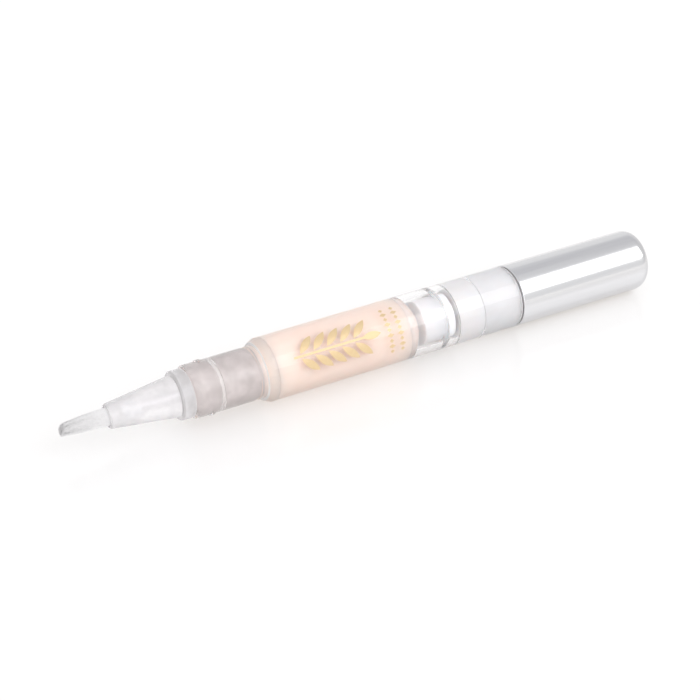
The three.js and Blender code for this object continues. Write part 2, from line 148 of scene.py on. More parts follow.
def piece(name, bm, material, body, stands_for=None):
    """Makes a bmesh a piece of the pen, and returns its object."""
    bmesh.ops.remove_doubles(bm, verts=bm.verts[:], dist=MERGE)
    bmesh.ops.recalc_face_normals(bm, faces=bm.faces[:])
    bmesh.ops.translate(bm, verts=bm.verts[:], vec=TO_ROW)
    open_edges = sum(1 for e in bm.edges if len(e.link_faces) != 2)
    mesh = bpy.data.meshes.new(name)
    bm.to_mesh(mesh)
    bm.free()
    mesh.materials.append(material)
    mesh.shade_smooth()
    mesh.set_sharp_from_angle(angle=SHARP_ANGLE)
    made = bpy.data.objects.new(name, mesh)
    bpy.context.scene.collection.objects.link(made)
    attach(made, body)
    if stands_for:
        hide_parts(stands_for)
    print("%-18s %6d faces, %d open edges, on %s" % (name, len(mesh.polygons), open_edges, body))
    return made


def even_normals(made):
    """Keeps large flats and long tubes from shading towards their small round edges."""
    made.modifiers.new("even normals", "WEIGHTED_NORMAL").keep_sharp = True
    return made


# %% [markdown]
# ## Finishes
#
# Moulded plastic is never one flat colour: it has a faint cloudiness inside and a fine unevenness on the
# skin that the polish of the mould leaves. Pictures of real plastic could give that, but they would have to
# be unwrapped on every piece. One noise texture on Object coordinates needs no unwrapping and gives both, a
# small shift in colour and a small shift in roughness, and a bump of a few thousandths of a millimetre. What
# is the same all over a finish is written on the shader's own sockets.

# %% A finish with cloudiness, uneven polish and a fine skin
CLOUD_LOW, CLOUD_HIGH = 0.3, 0.7


def moulded(name, pale, deep, grain, rough, skin=0.0, **sockets):
    """Makes a finish. The grain of its cloudiness and the depth of its skin are in mm."""
    material = bpy.data.materials.new(name)
    material.use_nodes = True
    nodes, links = material.node_tree.nodes, material.node_tree.links
    shader = nodes["Principled BSDF"]
    place = nodes.new("ShaderNodeTexCoord")
    cloud = nodes.new("ShaderNodeTexNoise")
    cloud.inputs["Scale"].default_value = 1 / (grain * MM)
    cloud.inputs["Detail"].default_value = 4.0
    tint = nodes.new("ShaderNodeValToRGB")
    low, high = tint.color_ramp.elements
    low.position, high.position = CLOUD_LOW, CLOUD_HIGH
    low.color, high.color = (*deep, 1), (*pale, 1)
    polish = nodes.new("ShaderNodeMapRange")
    polish.inputs["To Min"].default_value, polish.inputs["To Max"].default_value = rough
    links.new(place.outputs["Object"], cloud.inputs["Vector"])
    links.new(cloud.outputs["Fac"], tint.inputs["Fac"])
    links.new(cloud.outputs["Fac"], polish.inputs["Value"])
    links.new(tint.outputs["Color"], shader.inputs["Base Color"])
    links.new(polish.outputs["Result"], shader.inputs["Roughness"])
    if skin:
        bump = nodes.new("ShaderNodeBump")
        bump.inputs["Distance"].default_value = skin * MM
        links.new(cloud.outputs["Fac"], bump.inputs["Height"])
        links.new(bump.outputs["Normal"], shader.inputs["Normal"])
    for socket, value in sockets.items():
        shader.inputs[socket.replace("_", " ")].default_value = value
    print("finish", name)
    return material


# %% [markdown]
# A clear or frosted piece also has to let the lamps through to what lies inside it. Tracing light through
# refraction is slow and noisy, so for shadow rays alone the surface counts as plain transparent, tinted a
# little. White and milky mouldings and the creamy liquid are hardly see-through or not at all, but light
# wanders a few millimetres inside them and softens their shaded side, which is what Subsurface does.

# %% Let the lamps through a see-through finish
def lets_light_in(material, tint):
    """Makes a finish plain transparent to shadow rays, in a tint."""
    nodes, links = material.node_tree.nodes, material.node_tree.links
    ray = nodes.new("ShaderNodeLightPath")
    open_way = nodes.new("ShaderNodeBsdfTransparent")
    open_way.inputs["Color"].default_value = (*tint, 1)
    either = nodes.new("ShaderNodeMixShader")
    links.new(ray.outputs["Is Shadow Ray"], either.inputs["Fac"])
    links.new(nodes["Principled BSDF"].outputs["BSDF"], either.inputs[1])
    links.new(open_way.outputs["BSDF"], either.inputs[2])
    links.new(either.outputs["Shader"], nodes["Material Output"].inputs["Surface"])
    return material


# %% See-through finishes
PLASTIC_IOR = 1.49
GLOWS_THROUGH = {
    "Subsurface_Weight": 0.6,
    "Subsurface_Radius": (1.0, 0.8, 0.7),
    "Subsurface_Scale": 3.0 * MM,
}
clear_plastic = lets_light_in(
    moulded(
        "clear_plastic", (0.985, 0.98, 0.985), (0.975, 0.97, 0.975), 3.0, (0.015, 0.04),
        Transmission_Weight=1.0, IOR=PLASTIC_IOR, Specular_IOR_Level=0.3,
    ),
    (0.985, 0.98, 0.985),
)
frosted_plastic = lets_light_in(
    moulded(
        "frosted_plastic", (0.93, 0.915, 0.925), (0.84, 0.825, 0.835), 1.2, (0.18, 0.25),
        Transmission_Weight=0.53, IOR=PLASTIC_IOR, Specular_IOR_Level=0.2,
    ),
    (0.85, 0.84, 0.85),
)
matt_plastic = lets_light_in(
    moulded(
        "matt_plastic", (0.92, 0.9, 0.9), (0.88, 0.86, 0.86), 1.0, (0.4, 0.5),
        Transmission_Weight=0.35, IOR=PLASTIC_IOR,
    ),
    (0.85, 0.84, 0.84),
)
natural_plastic = lets_light_in(
    moulded(
        "natural_plastic", (0.97, 0.965, 0.98), (0.95, 0.945, 0.96), 2.5, (0.08, 0.13),
        Transmission_Weight=0.9, IOR=PLASTIC_IOR,
    ),
    (0.98, 0.98, 0.985),
)
milky_plastic = lets_light_in(
    moulded(
        "milky_plastic", (0.93, 0.91, 0.915), (0.89, 0.87, 0.875), 2.5, (0.3, 0.38),
        Transmission_Weight=0.2, IOR=PLASTIC_IOR, **GLOWS_THROUGH,
    ),
    (0.7, 0.69, 0.7),
)

# %% Opaque finishes
white_plastic = moulded(
    "white_moulding", (0.98, 0.98, 0.985), (0.95, 0.95, 0.955), 1.5, (0.28, 0.38), 0.001, **GLOWS_THROUGH
)
grey_plastic = moulded(
    "grey_moulding", (0.8, 0.79, 0.81), (0.75, 0.74, 0.76), 1.5, (0.35, 0.5), 0.001
)
soft_silicone = moulded(
    "soft_silicone", (0.82, 0.78, 0.77), (0.76, 0.72, 0.71), 0.8, (0.4, 0.55), 0.001
)
liquid_peach = moulded(
    "liquid_peach", (0.95, 0.78, 0.7), (0.94, 0.76, 0.675), 6.0, (0.25, 0.35), IOR=1.38, **GLOWS_THROUGH
)

# %% [markdown]
# ## Barrel
#
# The barrel is one moulding in clear plastic: a thick tube with a narrower neck in front for the cap, a snap
# bead that the cap clicks over and a groove before the shoulder. The bore steps in at the neck and out at
# the rear, where the mechanism is pressed in. The closed profile goes round the wall once, so the spin gives
# a solid wall and light bends at both of its faces, as in the real tube. Two separate cylinders would bend
# it wrongly. The cap rubs the neck satin, and the ledge that it rests on and the cut rear end are matt, so
# their faces get finishes of their own.

# %% Barrel
BARREL_RADIUS = 5.49
BORE, SEAT = 4.35, 4.55
NECK_RADIUS, NECK_BORE, NECK_EDGE = 4.5, 3.1, 0.35
BEAD, BEAD_HEIGHT, BEAD_FOOT, BEAD_TOP = -9.5, 0.18, 0.5, 0.25
GROOVE, GROOVE_DEPTH, GROOVE_MOUTH, GROOVE_FLOOR = -1.4, 0.22, 0.4, 0.2
LEDGE_WIDTH, SHOULDER_LENGTH = 0.45, 1.05
BARREL_REAR, REAR_EDGE = stations("barrel")[1], 0.15
CONE_FRONT, CONE_REAR = 0.6, 2.0
CAD_GAP = 0.1
NUT_SEAT = stations("threaded_nut")[0] - CAD_GAP
FINE_STEPS = 128

barrel_profile = [
    (NECK_FRONT, NECK_BORE),
    (NECK_FRONT, NECK_RADIUS - NECK_EDGE),
    (NECK_FRONT + NECK_EDGE, NECK_RADIUS),
    (BEAD - BEAD_FOOT, NECK_RADIUS),
    (BEAD - BEAD_TOP, NECK_RADIUS + BEAD_HEIGHT),
    (BEAD + BEAD_TOP, NECK_RADIUS + BEAD_HEIGHT),
    (BEAD + BEAD_FOOT, NECK_RADIUS),
    (GROOVE - GROOVE_MOUTH, NECK_RADIUS),
    (GROOVE - GROOVE_FLOOR, NECK_RADIUS - GROOVE_DEPTH),
    (GROOVE + GROOVE_FLOOR, NECK_RADIUS - GROOVE_DEPTH),
    (GROOVE + GROOVE_MOUTH, NECK_RADIUS),
    (0.0, NECK_RADIUS),
    (0.0, NECK_RADIUS + LEDGE_WIDTH),
    (SHOULDER_LENGTH, BARREL_RADIUS),
    (BARREL_REAR - REAR_EDGE, BARREL_RADIUS),
    (BARREL_REAR, BARREL_RADIUS - REAR_EDGE),
    (BARREL_REAR, SEAT),
    (NUT_SEAT, SEAT),
    (NUT_SEAT, BORE),
    (CONE_REAR, BORE),
    (CONE_FRONT, NECK_BORE),
]
barrel_bm = spun(barrel_profile, ring=True, steps=FINE_STEPS)
barrel = even_normals(piece("barrel_clear", barrel_bm, clear_plastic, "barrel", "barrel"))

# %% Satin neck and matt ends
rubbed_plastic = lets_light_in(
    moulded(
        "rubbed_plastic", (0.97, 0.955, 0.955), (0.94, 0.92, 0.92), 1.5, (0.2, 0.3),
        Transmission_Weight=0.92, IOR=PLASTIC_IOR, Specular_IOR_Level=0.3,
    ),
    (0.95, 0.94, 0.94),
)


def another_finish(made, finish, front, rear, inner):
    """Gives another finish to the faces between two stations and outside a radius, in mm."""
    made.data.materials.append(finish)
    for face in made.data.polygons:
        station = (face.center.x - SHOULDER_X) / MM
        radius = math.hypot(face.center.y, face.center.z - AXIS_Z) / MM
        if front < station < rear and radius > inner:
            face.material_index = len(made.data.materials) - 1
    print(made.name, "gets", finish.name, "from %.1f to %.1f mm" % (front, rear))


another_finish(barrel, rubbed_plastic, front=NECK_FRONT - 1, rear=0.0, inner=NECK_RADIUS - 0.36)
another_finish(barrel, matt_plastic, front=-0.03, rear=0.1, inner=NECK_RADIUS - 0.1)
another_finish(barrel, matt_plastic, front=BARREL_REAR - 0.2, rear=BARREL_REAR + 1, inner=SEAT + 0.05)

# %% [markdown]
# ## Nozzle, seal and feed tube
#
# The nozzle is a frosted cone with a flange that sits on the neck and a spigot inside it. A soft ring in a
# groove of the spigot seals it, and a thin tube runs through the middle and brings the liquid to the
# bristles. All three are turned shapes, and the ring is drawn as the neck squeezes it. The frosting is in
# the plastic, not paint, so light passes through the cone and blurs on its way.
# The spigot is stained by the liquid and wets the neck's bore, so it is a hair wider than the bore and fills
# the neck with its own grey beige. It could be a piece of its own, but the real one is moulded with the
# cone, so it is the same piece with a second finish on the faces inside the neck.

# %% Nozzle
NOZZLE_MOUTH, FLANGE_FRONT = -26.5, -14.9
SOCKET_END, SPIGOT_END = -20.9, 0.0
MOUTH_RADIUS, SOCKET_RADIUS, LIP_ROUND = 2.1, 1.68, 0.2
CONE_ROOT, FLANGE_RADIUS, FLANGE_EDGE = 3.5, 4.15, 0.3
FLANGE_REAR = NECK_FRONT - CAD_GAP
WET = 0.01
SPIGOT, SPIGOT_TIP, SPIGOT_EDGE = NECK_BORE + WET, 2.7, 0.3
SEAL, SEAL_GROOVE, SEAL_GROOVE_BOTTOM = -7.6, 0.35, 2.4
FEED_HOLE = 0.8
nozzle_profile = [
    (NOZZLE_MOUTH, SOCKET_RADIUS),
    (NOZZLE_MOUTH, MOUTH_RADIUS - LIP_ROUND),
    (NOZZLE_MOUTH + LIP_ROUND, MOUTH_RADIUS),
    (FLANGE_FRONT, CONE_ROOT),
    (FLANGE_FRONT, FLANGE_RADIUS - FLANGE_EDGE),
    (FLANGE_FRONT + FLANGE_EDGE, FLANGE_RADIUS),
    (FLANGE_REAR, FLANGE_RADIUS),
    (FLANGE_REAR, SPIGOT),
    (SEAL - SEAL_GROOVE, SPIGOT),
    (SEAL - SEAL_GROOVE, SEAL_GROOVE_BOTTOM),
    (SEAL + SEAL_GROOVE, SEAL_GROOVE_BOTTOM),
    (SEAL + SEAL_GROOVE, SPIGOT),
    (SPIGOT_END - SPIGOT_EDGE, SPIGOT),
    (SPIGOT_END, SPIGOT_TIP),
    (SPIGOT_END, FEED_HOLE),
    (SOCKET_END, FEED_HOLE),
    (SOCKET_END, SOCKET_RADIUS),
]
stained_plastic = moulded(
    "stained_plastic", (0.84, 0.77, 0.76), (0.62, 0.56, 0.55), 1.8, (0.35, 0.5), 0.002,
    Transmission_Weight=0.15, IOR=PLASTIC_IOR,
)
nozzle_bm = spun(nozzle_profile, ring=True)
nozzle = even_normals(
    piece("nozzle_frosted", nozzle_bm, frosted_plastic, "barrel", "brush_nozzle")
)
another_finish(
    nozzle, stained_plastic, front=NECK_FRONT - CAD_GAP / 2, rear=SPIGOT_END + 1, inner=NECK_BORE / 2
)

# %% Seal and feed tube
RING_HALF, RING_INNER = 0.3, 2.45
TUBE_FRONT, TUBE_BORE, TUBE_RADIUS = -25.7, 0.4, 0.7
ring_profile = [
    (SEAL - RING_HALF, RING_INNER),
    (SEAL - RING_HALF, SPIGOT),
    (SEAL + RING_HALF, SPIGOT),
    (SEAL + RING_HALF, RING_INNER),
]
ring_bm = spun(ring_profile, corner=0.12, ring=True)
piece("nozzle_seal", ring_bm, soft_silicone, "barrel", "nozzle_o_ring")
feed_profile = [
    (TUBE_FRONT, TUBE_BORE),
    (TUBE_FRONT, TUBE_RADIUS),
    (SPIGOT_END, TUBE_RADIUS),
    (SPIGOT_END, TUBE_BORE),
]
feed_bm = spun(feed_profile, ring=True, steps=32)
piece("feed_tube_drawn", feed_bm, natural_plastic, "barrel", "feed_tube")

# %% [markdown]
# ## Bristles
#
# The brush is a round tuft of tapered nylon strands, set in a ring round the feed tube. They close up over
# the tube's end, swell to a belly and draw in to a tip whose upper side is cut back. One strand is made with
# operators, a circle that is extruded step by step, and then copied and bent along its own path. Hair
# particles would look alike in a render, but leave no mesh to export.

# %% One strand, one unit long
STRAND_SECTIONS, STRAND_SIDES = 5, 5


def one_strand():
    bm = bmesh.new()
    bmesh.ops.create_circle(bm, cap_ends=True, segments=STRAND_SIDES, radius=1.0)
    for _ in range(STRAND_SECTIONS):
        end = max(bm.faces, key=lambda f: f.calc_center_median().z)
        grown = bmesh.ops.extrude_face_region(bm, geom=[end])["geom"]
        bmesh.ops.delete(bm, geom=[end], context="FACES_ONLY")
        moved = [g for g in grown if isinstance(g, bmesh.types.BMVert)]
        bmesh.ops.translate(bm, verts=moved, vec=(0, 0, 1 / STRAND_SECTIONS))
    bmesh.ops.recalc_face_normals(bm, faces=bm.faces[:])
    mesh = bpy.data.meshes.new("strand")
    bm.to_mesh(mesh)
    bm.free()
    return mesh


strand = one_strand()
print("one strand has", len(strand.polygons), "faces")

# %% The path of a strand
BRUSH_TIP, ROOT = -34.5, -24.9
BELLY = NOZZLE_MOUTH - 3.4
ROOT_INNER, ROOT_OUTER = 0.9, 1.52
BELLY_RADIUS, TIP_RADIUS, TIP_SLANT = 1.42, 0.96, 0.8
THICK, FINE, TAPER = 0.034, 0.009, 2.5
print("the tuft is %.1f mm long" % (ROOT - BRUSH_TIP))


def strand_path(share, angle, jitter):
    """Gives (station, across, up, thickness) in mm at a share of the strand's length."""
    out, up = math.sqrt(share), math.sin(angle)
    root = math.sqrt(ROOT_INNER ** 2 + share * (ROOT_OUTER ** 2 - ROOT_INNER ** 2))
    end = BRUSH_TIP + TIP_SLANT * ((1 + up * out) / 2) ** 2 + jitter

    def at(t):
        station = ROOT + (end - ROOT) * t
        if station > BELLY:
            s = (ROOT - station) / (ROOT - BELLY)
            s = s * s * (3 - 2 * s)
            radius = root + (BELLY_RADIUS * out - root) * s
        else:
            s = (BELLY - station) / (BELLY - BRUSH_TIP)
            radius = out * (BELLY_RADIUS + (TIP_RADIUS - BELLY_RADIUS) * s)
        return station, radius * math.cos(angle), radius * up, THICK + (FINE - THICK) * t ** TAPER

    return at


# %% The tuft
STRANDS, SEED = 1500, 7
LONGEST_CUT = 0.3
GOLDEN_ANGLE = math.pi * (3 - math.sqrt(5))
draw = random.Random(SEED)
tuft_bm = bmesh.new()
for i in range(STRANDS):
    along = strand_path((i + 0.5) / STRANDS, i * GOLDEN_ANGLE, draw.uniform(0.0, LONGEST_CUT))
    first = len(tuft_bm.verts)
    tuft_bm.from_mesh(strand)
    tuft_bm.verts.ensure_lookup_table()
    for v in tuft_bm.verts[first:]:
        station, across, up, thickness = along(v.co.z)
        v.co = (station * MM, (across + v.co.x * thickness) * MM, (up + v.co.y * thickness) * MM)
bpy.data.meshes.remove(strand)
nylon = moulded("nylon", (0.85, 0.84, 0.845), (0.77, 0.76, 0.765), 0.4, (0.3, 0.45))
piece("bristles", tuft_bm, nylon, "barrel", "bristle_tuft")

# %% [markdown]
# ## Liquid
#
# The peach liquid wets the bore, so it is a hair wider than the bore: then no film of air is left between
# the two and the colour fills the tube up to its edges, as it does through a real wet wall. One body that is
# squeezed as a whole would flatten its round ends too, so it is in three parts. The front cone and the column
# ride on the barrel, and the dome in the piston's hollow end goes along with the piston.

# %% Profiles of the liquid
PISTON_FRONT, CUP_REAR = stations("piston_cup")
DISH_RIM, DISH_DEPTH, DISH_STEPS = 4.0, 2.7, 16
HIDDEN, RIM_GAP = 0.005, 0.02
CONE_LAP, DOME_LAP = 0.4, 0.3
cone_profile = [
    (SPIGOT_END + WET, 0.0),
    (SPIGOT_END + WET, SPIGOT_TIP),
    (SPIGOT_END - SPIGOT_EDGE + WET, SPIGOT),
    (CONE_FRONT, SPIGOT),
    (CONE_REAR, BORE + WET),
    (CONE_REAR + CONE_LAP, BORE + WET - HIDDEN),
    (CONE_REAR + CONE_LAP, 0.0),
]
column_profile = [
    (CONE_REAR, 0.0),
    (CONE_REAR, BORE + WET),
    (PISTON_FRONT, BORE + WET),
    (PISTON_FRONT, 0.0),
]


def dish(rim, depth):
    """Gives a quarter ellipse from the rim of the piston's hollow end to its deepest point."""
    quarter = [math.pi / 2 * i / DISH_STEPS for i in range(DISH_STEPS)]
    points = [(PISTON_FRONT + depth * math.sin(a), rim * math.cos(a)) for a in quarter]
    return points + [(PISTON_FRONT + depth, 0.0)]


dome_profile = [
    (PISTON_FRONT - DOME_LAP, 0.0),
    (PISTON_FRONT - DOME_LAP, BORE + WET - HIDDEN),
    (PISTON_FRONT - RIM_GAP, BORE + WET - HIDDEN),
    *dish(DISH_RIM + WET, DISH_DEPTH + WET),
]
print("liquid from %.1f mm to the piston at %.1f mm" % (SPIGOT_END, PISTON_FRONT))

# %% Liquid in its three parts
piece("liquid_cone", spun(cone_profile, corner=0), liquid_peach, "barrel")
column_bm = spun(column_profile, corner=0)
liquid_column = piece("liquid_column", column_bm, liquid_peach, "barrel", "concealer_fill")
piece("liquid_dome", spun(dome_profile, corner=0), liquid_peach, "piston")
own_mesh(liquid_column)

# %% [markdown]
# ## Piston
#
# The piston is a cup with two wiper lips that run along the bore, and a plug snapped into it from behind.
# The cup is natural, uncoloured plastic and the plug is white, which is why the front of the piston looks
# glassy and its middle bright. A Boolean could hollow the cup, but leaves untidy faces, so both are turned,
# and the cup's hollow end comes from the same function as the liquid's dome. The lips are wet and the plug is
# pressed in, so neither leaves a film of air that would show as a mirror.

# %% Piston cup
WIPER, WIPER_LENGTH, WIPER_RELIEF = BORE + WET, 1.1, 0.45
CAVITY, PLUG = 30.4, 3.11
cup_profile = [
    *reversed(dish(DISH_RIM, DISH_DEPTH)),
    (PISTON_FRONT, WIPER),
    (PISTON_FRONT + WIPER_LENGTH, WIPER),
    (PISTON_FRONT + WIPER_LENGTH + WIPER_RELIEF, WIPER - WIPER_RELIEF),
    (CUP_REAR - WIPER_LENGTH - WIPER_RELIEF, WIPER - WIPER_RELIEF),
    (CUP_REAR - WIPER_LENGTH, WIPER),
    (CUP_REAR, WIPER),
    (CUP_REAR, PLUG - WET),
    (CAVITY, PLUG - WET),
    (CAVITY, 0.0),
]
cup_bm = spun(cup_profile, corner=0.03)
even_normals(
    piece("piston_wiper_cup", cup_bm, natural_plastic, "piston", "piston_cup")
)

# %% Piston plug
PISTON_REAR = stations("piston_core")[1]
PLUG_REAR, PLUG_FLANGE = 34.6, WIPER - 0.55
HEAD_SOCKET_FRONT, HEAD_SOCKET_REAR, HEAD_SOCKET, THROAT = 32.7, 35.3, 1.9, 1.4
core_profile = [
    (CAVITY - WET, 0.0),
    (CAVITY - WET, PLUG),
    (PLUG_REAR, PLUG),
    (PLUG_REAR, PLUG_FLANGE),
    (PISTON_REAR, PLUG_FLANGE),
    (PISTON_REAR, THROAT),
    (HEAD_SOCKET_REAR, THROAT),
    (HEAD_SOCKET_REAR, HEAD_SOCKET),
    (HEAD_SOCKET_FRONT, HEAD_SOCKET),
    (HEAD_SOCKET_FRONT, 0.0),
]
even_normals(
    piece("piston_plug", spun(core_profile), white_plastic, "piston", "piston_core")
)

# %% [markdown]
# ## Screw rod and nut
#
# The knob turns this rod, the fixed nut makes it climb, and its head pushes the piston. A thread is a
# profile of one lead that turns and climbs at once, and spin does that when each step also gets a small move
# along the axis. The rows of one turn then meet those of the next and are merged. A Screw modifier could
# turn it too, but its ends would stay open. Here planes trim both ends and cut the two flats that the knob's
# spindle holds, and close each cut.

# %% A thread that climbs as it spins
LEAD = 2.0
THREAD_STEPS = 32


def climbing_thread(start, turns, root, crest, ridge_width, crest_width):
    bm = bmesh.new()
    half_ridge, half_crest = ridge_width / 2, crest_width / 2
    line = [
        (-half_ridge, root),
        (-half_crest, crest),
        (half_crest, crest),
        (half_ridge, root),
        (LEAD - half_ridge, root),
    ]
    points = [bm.verts.new(((start + x) * MM, 0.0, r * MM)) for x, r in line]
    for first, second in zip(points, points[1:]):
        bm.edges.new((first, second))
    bmesh.ops.spin(
        bm,
        geom=bm.verts[:] + bm.edges[:],
        cent=(0, 0, 0),
        axis=(1, 0, 0),
        dvec=(LEAD * MM / THREAD_STEPS, 0, 0),
        angle=2 * math.pi * turns,
        steps=THREAD_STEPS * turns,
    )
    bmesh.ops.remove_doubles(bm, verts=bm.verts[:], dist=MERGE)
    return bm


def trim(bm, point, outward):
    """Cuts away what lies beyond a plane, and closes the cut."""
    cut = bmesh.ops.bisect_plane(
        bm,
        geom=bm.verts[:] + bm.edges[:] + bm.faces[:],
        plane_co=Vector(point) * MM,
        plane_no=outward,
        clear_outer=True,
    )["geom_cut"]
    bmesh.ops.holes_fill(bm, edges=[g for g in cut if isinstance(g, bmesh.types.BMEdge)], sides=0)


def add_to(bm, other):
    """Adds a second bmesh to a first one, and frees the second."""
    mesh = bpy.data.meshes.new("added")
    other.to_mesh(mesh)
    other.free()
    bm.from_mesh(mesh)
    bpy.data.meshes.remove(mesh)


# %% Screw rod
ROD_ROOT, ROD_CREST, ROD_FLAT = 1.4, 1.9, 1.3
RIDGE_WIDTH, CREST_WIDTH = 1.1, 0.5
ROD_TURN, ROD_TURNS = 34.5, 21
RUNNING = 0.2
THREAD_FRONT, ROD_REAR = PISTON_REAR + RUNNING, stations("screw_rod")[1]
HEAD_FRONT, HEAD_REAR, HEAD_RADIUS, HEAD_EDGE = 32.9, 35.1, 1.7, 0.4
STEM_REAR, STEM_RADIUS = 37.0, 1.2
rod_bm = climbing_thread(ROD_TURN, ROD_TURNS, ROD_ROOT, ROD_CREST, RIDGE_WIDTH, CREST_WIDTH)
for point, outward in (
    ((THREAD_FRONT, 0, 0), (-1, 0, 0)),
    ((ROD_REAR, 0, 0), (1, 0, 0)),
    ((0, 0, ROD_FLAT), (0, 0, 1)),
    ((0, 0, -ROD_FLAT), (0, 0, -1)),
):
    trim(rod_bm, point, outward)
head_profile = [
    (HEAD_FRONT, 0.0),
    (HEAD_FRONT, HEAD_RADIUS - HEAD_EDGE),
    (HEAD_FRONT + HEAD_EDGE, HEAD_RADIUS),
    (HEAD_REAR, HEAD_RADIUS),
    (HEAD_REAR, STEM_RADIUS),
    (STEM_REAR, STEM_RADIUS),
    (STEM_REAR, 0.0),
]
add_to(rod_bm, spun(head_profile, corner=0.05, steps=48))
piece("screw_rod_threaded", rod_bm, white_plastic, "screw_rod", "screw_rod")

# %% [markdown]
# The nut is a plain ring outside and a thread inside. Its thread is the rod's with a little play, taken out
# of the blank by a Boolean modifier that is applied at once, so the mesh is the tapped nut itself.
# Sewing a spun thread to the blank by hand would take far more steps.

# %% Nut blank and tap
NUT_FRONT, NUT_REAR = stations("threaded_nut")
PRESSED = SEAT + WET
PLAY = 0.18
TAP_TURN, TAP_TURNS, TAP_PAST = 30.5, 10, 2
nut_profile = [(NUT_FRONT, 0.0), (NUT_FRONT, PRESSED), (NUT_REAR, PRESSED), (NUT_REAR, 0.0)]
nut_bm = spun(nut_profile, corner=0.15)
threaded_nut = piece(
    "nut_tapped", nut_bm, milky_plastic, "barrel", "threaded_nut"
)
tap_bm = climbing_thread(
    TAP_TURN,
    TAP_TURNS,
    ROD_ROOT + RUNNING,
    ROD_CREST + RUNNING,
    RIDGE_WIDTH + 2 * PLAY,
    CREST_WIDTH + 2 * PLAY,
)
trim(tap_bm, (NUT_FRONT - TAP_PAST, 0, 0), (-1, 0, 0))
trim(tap_bm, (NUT_REAR + TAP_PAST, 0, 0), (1, 0, 0))
tap = piece("tap", tap_bm, milky_plastic, "barrel")

# %% Tap the nut
tapping = threaded_nut.modifiers.new("tapping", "BOOLEAN")
tapping.operation, tapping.solver, tapping.object = "DIFFERENCE", "EXACT", tap
bpy.context.view_layer.update()
depsgraph = bpy.context.evaluated_depsgraph_get()
tapped = bpy.data.meshes.new_from_object(threaded_nut.evaluated_get(depsgraph))
threaded_nut.modifiers.clear()
threaded_nut.data = tapped
bpy.data.objects.remove(tap)
print("tapped nut:", len(tapped.polygons), "faces")

# %% [markdown]
# ## Ratchet sleeve
#
# The sleeve behind the nut holds the knob's spindle with its lip, and its saw teeth let the knob turn one
# way only. The wall is turned. One tooth is a small wedge, extruded along the pen, and spin with duplicates
# sets sixteen of them round the bore. An Array modifier would need an empty to turn about.

# %% Wall of the sleeve
SLEEVE_FRONT, SLEEVE_BORE = stations("ratchet_sleeve")[0], 3.9
LIP_LENGTH, LIP_BORE = 1.2, 3.15
sleeve_profile = [
    (SLEEVE_FRONT, SLEEVE_BORE),
    (SLEEVE_FRONT, PRESSED),
    (BARREL_REAR, PRESSED),
    (BARREL_REAR, LIP_BORE),
    (BARREL_REAR - LIP_LENGTH, LIP_BORE),
    (BARREL_REAR - LIP_LENGTH, SLEEVE_BORE),
]
sleeve_bm = spun(sleeve_profile, ring=True)
print("sleeve from %.1f to %.1f mm" % (SLEEVE_FRONT, BARREL_REAR))

# %% Teeth of the sleeve
TEETH, TOOTH_DEPTH, TOOTH_LENGTH = 16, 0.4, 3.0
TOOTH_PITCH = 2 * math.pi / TEETH
TOE_SUNK, FACE_SUNK = 0.02, 0.1
wedge_corners = (
    (SLEEVE_BORE - TOOTH_DEPTH, 0.0),
    (SLEEVE_BORE + TOE_SUNK, TOOTH_PITCH),
    (SLEEVE_BORE + FACE_SUNK, 0.0),
)
tooth_bm = bmesh.new()
wedge = [
    tooth_bm.verts.new((SLEEVE_FRONT * MM, radius * MM * math.cos(angle), radius * MM * math.sin(angle)))
    for radius, angle in wedge_corners
]
grown = bmesh.ops.extrude_face_region(tooth_bm, geom=[tooth_bm.faces.new(wedge)])["geom"]
far_end = [g for g in grown if isinstance(g, bmesh.types.BMVert)]
bmesh.ops.translate(tooth_bm, verts=far_end, vec=(TOOTH_LENGTH * MM, 0, 0))
bmesh.ops.spin(
    tooth_bm,
    geom=tooth_bm.verts[:] + tooth_bm.edges[:] + tooth_bm.faces[:],
    cent=(0, 0, 0),
    axis=(1, 0, 0),
    angle=TOOTH_PITCH * (TEETH - 1),
    steps=TEETH - 1,
    use_duplicate=True,
)
add_to(sleeve_bm, tooth_bm)
even_normals(
    piece("sleeve_toothed", sleeve_bm, milky_plastic, "barrel", "ratchet_sleeve")
)

# %% [markdown]
# ## Knob
#
# The knob's shell is deep-drawn aluminium, polished and anodised. Its closed end has a soft round edge, a
# quarter ellipse that starts well before the end, and its open edge stands a hair from the barrel, which
# shows as a dark seam. Drawing and polishing leave faint lines along the knob. Anisotropy would hint at
# them, but stretching the noise of this finish along X draws the lines themselves.

# %% Drawn aluminium
polished_aluminium = moulded(
    "drawn_aluminium", (0.7, 0.7, 0.713), (0.67, 0.67, 0.686), 0.5, (0.14, 0.2), Metallic=1.0
)
LONG_LINES = (0.03, 1, 1)
nodes, links = polished_aluminium.node_tree.nodes, polished_aluminium.node_tree.links
drawn_out = nodes.new("ShaderNodeMapping")
drawn_out.inputs["Scale"].default_value = LONG_LINES
links.new(nodes["Texture Coordinate"].outputs["Object"], drawn_out.inputs["Vector"])
links.new(drawn_out.outputs["Vector"], nodes["Noise Texture"].inputs["Vector"])

